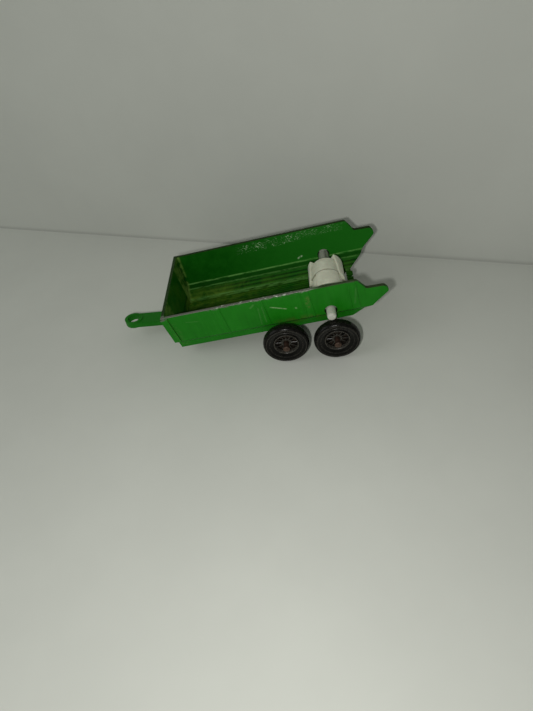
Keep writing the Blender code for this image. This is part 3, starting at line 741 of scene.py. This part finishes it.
def moulded_shaft(name):
    """The same plastic, greyer along the middle and lighter at the outer ends."""
    s = Shader(name)
    place = s.in_millimetres()
    x, y, z = s.split(place)
    fine = s.noise(place, 2.6, 5.0, 0.6)
    lines = s.noise(s.mapped(place, scale=(2.5, 2.5, 0.15)), 1.2, 3.0, 0.6)
    end_tone = s.mix(s.ramp(fine, 0.35, 0.7), (0.50, 0.50, 0.43), (0.60, 0.60, 0.53))
    # greyer along the middle of the shaft
    grey_middle_tone = s.mix(s.ramp(lines, 0.35, 0.62), (0.135, 0.130, 0.110), (0.34, 0.34, 0.29))
    inner = s.ramp(s.math("ABSOLUTE", z), 10.6, 10.3)
    colour = s.mix(inner, end_tone, grey_middle_tone)
    normal = s.bump(s.math("ADD", s.times(fine, 0.5), s.times(lines, 0.5)), 0.04 * MM, 0.7)
    return s.set(colour=colour, roughness=0.46, normal=normal, subsurface=0.05, subsurface_scale=0.4 * MM)


def tarnished_steel(name):
    """Brown tarnish on a steel pin, rubbed brighter on the heads."""
    s = Shader(name)
    place = s.in_millimetres()
    x, y, z = s.split(place)
    fine = s.noise(place, 3.2, 5.0, 0.65)
    spots = s.noise(place, 1.1, 4.0, 0.6)
    colour = s.mix(s.ramp(spots, 0.35, 0.65), (0.035, 0.020, 0.013), (0.085, 0.046, 0.032))
    rubbed = s.times(s.ramp(s.math("ABSOLUTE", z), 16.35, 16.7), s.ramp(fine, 0.42, 0.6))
    colour = s.mix(s.times(rubbed, 0.35), colour, (0.20, 0.13, 0.09))
    normal = s.bump(fine, 0.05 * MM, 0.8)
    return s.set(colour=colour, roughness=s.ramp(fine, 0.3, 0.7, 0.42, 0.62), metallic=0.55, normal=normal)


def dull_zinc(name):
    """Bare rivet metal with oxide spots."""
    s = Shader(name)
    place = s.in_millimetres()
    fine = s.noise(place, 3.0, 5.0, 0.65)
    colour = s.mix(s.ramp(fine, 0.38, 0.62), (0.16, 0.16, 0.14), (0.30, 0.30, 0.28))
    normal = s.bump(fine, 0.04 * MM, 0.8)
    return s.set(colour=colour, roughness=s.ramp(fine, 0.3, 0.7, 0.4, 0.6), metallic=0.7, normal=normal)


green = enamel("green_enamel")
black = moulded_black("black_plastic")
cream = moulded_cream("cream_plastic")
shaft_white = moulded_shaft("cream_plastic_shaft")
steel = tarnished_steel("tarnished_steel")
zinc = dull_zinc("bare_zinc")

for node in ("tub", "axle_base"):
    casting = soften_casting(node)
    casting.data.materials.clear()
    casting.data.materials.append(green)
for node in WHEELS:
    make_wheel(node, black)
for node in AXLES:
    make_axle(node, steel)
make_shaft(shaft_white)
make_drum(cream)
for node in ("front_rivet", "rear_rivet"):
    make_rivet(node, zinc)


# ---- stage, light and camera ---------------------------------------------
def sheet(name, corners, colour, seam_height=0.0):
    """A flat card with a faint mottle, seen from its front only.

    seam_height is how far up a card has painted shade where it meets the floor.
    """
    s = Shader(name)
    place = s.coordinates()
    mottle = s.noise(place, 25.0, 4.0, 0.6)
    light = tuple(min(1.0, channel * 1.05) for channel in colour)
    shade = s.mix(s.ramp(mottle, 0.3, 0.7), colour, light)
    if seam_height:
        height = s.split(place)[2]
        # painted shade along the seam where the card meets the floor
        shade = s.mix(s.ramp(height, 0.0, seam_height, 0.25, 0.0), shade, (0.10, 0.10, 0.09))
    s.set(colour=shade, roughness=0.8, specular=0.25)
    behind = s.node("ShaderNodeNewGeometry").outputs["Backfacing"]
    seen = s.node("ShaderNodeLightPath").outputs["Is Camera Ray"]
    either = s.node("ShaderNodeMixShader")
    s.put(s.times(behind, seen), either.inputs[0])
    s.link(s.bsdf, either.inputs[1])
    s.link(s.node("ShaderNodeBsdfTransparent"), either.inputs[2])
    s.link(either, s.tree.nodes["Material Output"].inputs["Surface"])
    mesh = bpy.data.meshes.new(name)
    body = bmesh.new()
    body.faces.new([body.verts.new(corner) for corner in corners])
    body.to_mesh(mesh)
    body.free()
    mesh.materials.append(s.material)
    made = bpy.data.objects.new(name, mesh)
    bpy.context.scene.collection.objects.link(made)


def add_stage():
    """Pale card floor that meets a pale card wall behind the trailer."""
    wall_left = Vector((SHIFT - 109.2 * MM, 63.93 * MM, 0.0))
    wall_right = Vector((SHIFT + 61.46 * MM, 13.68 * MM, 0.0))
    run = (wall_right - wall_left).normalized()
    left = wall_left - run * 0.9
    right = wall_right + run * 0.9
    front = Vector((run.y, -run.x, 0.0)) * 1.2
    if front.y > 0:
        front = -front
    up = Vector((0.0, 0.0, 0.9))
    sheet("floor", [left, left + front, right + front, right], (0.60, 0.61, 0.565))
    sheet("backdrop", [left, right, right + up, left + up], (0.51, 0.52, 0.48), 1.6 * MM)


def camera_turn(yaw, pitch, roll):
    return (Matrix.Rotation(yaw, 3, "Z") @ Matrix.Rotation(-pitch, 3, "X")
            @ Matrix.Rotation(roll, 3, "Y"))


def add_camera():
    """Camera at the photograph's viewing angle."""
    turn = camera_turn(math.radians(6.479), math.radians(44.985), math.radians(9.221))
    right, forward, up = turn.col
    aim = Vector((SHIFT - 12.759 * MM, 0.0, -12.671 * MM))
    data = bpy.data.cameras.new("camera")
    data.sensor_width = 36.0
    data.lens = 26.376
    data.clip_start = 0.005
    data.clip_end = 10.0
    made = bpy.data.objects.new("camera", data)
    bpy.context.scene.collection.objects.link(made)
    made.location = aim - forward * 146.58 * MM
    made.rotation_euler = Matrix((right, up, -forward)).transposed().to_euler()
    bpy.context.scene.camera = made
    return made, turn


def add_lamp(name, kind, energy, colour, location):
    data = bpy.data.lights.new(name, kind)
    data.energy = energy
    data.color = colour
    made = bpy.data.objects.new(name, data)
    bpy.context.scene.collection.objects.link(made)
    made.location = location
    return made


def add_flash(location):
    """Small bright lamp beside the lens, like the flash of a phone."""
    made = add_lamp("flash", "POINT", 0.24, (1.0, 1.0, 0.965), location)
    made.data.shadow_soft_size = 2.2 * MM


def add_panel(location, target, size, power):
    """Large soft lamp that evens out the left side of the picture."""
    made = add_lamp("panel", "AREA", power, (0.97, 1.0, 0.97), location)
    made.data.size = size
    aim = Vector(target) - Vector(location)
    made.rotation_euler = aim.to_track_quat("-Z", "Y").to_euler()


def add_room(strength):
    """Faint even light from all round."""
    world = bpy.data.worlds.new("room")
    bpy.context.scene.world = world
    world.use_nodes = True
    glow = world.node_tree.nodes["Background"]
    glow.inputs["Color"].default_value = (0.92, 0.96, 0.92, 1.0)
    glow.inputs["Strength"].default_value = strength


add_stage()
camera, camera_axes = add_camera()
flash_place = camera.location + camera_axes @ Vector((-8.4 * MM, 0.0, -5.5 * MM))
add_flash(flash_place)
add_panel((SHIFT - 0.22, -0.07, 0.14), (SHIFT - 0.06, 0.03, 0.0), 0.16, 0.115)
add_room(0.175)
bpy.context.scene.view_settings.view_transform = "Standard"
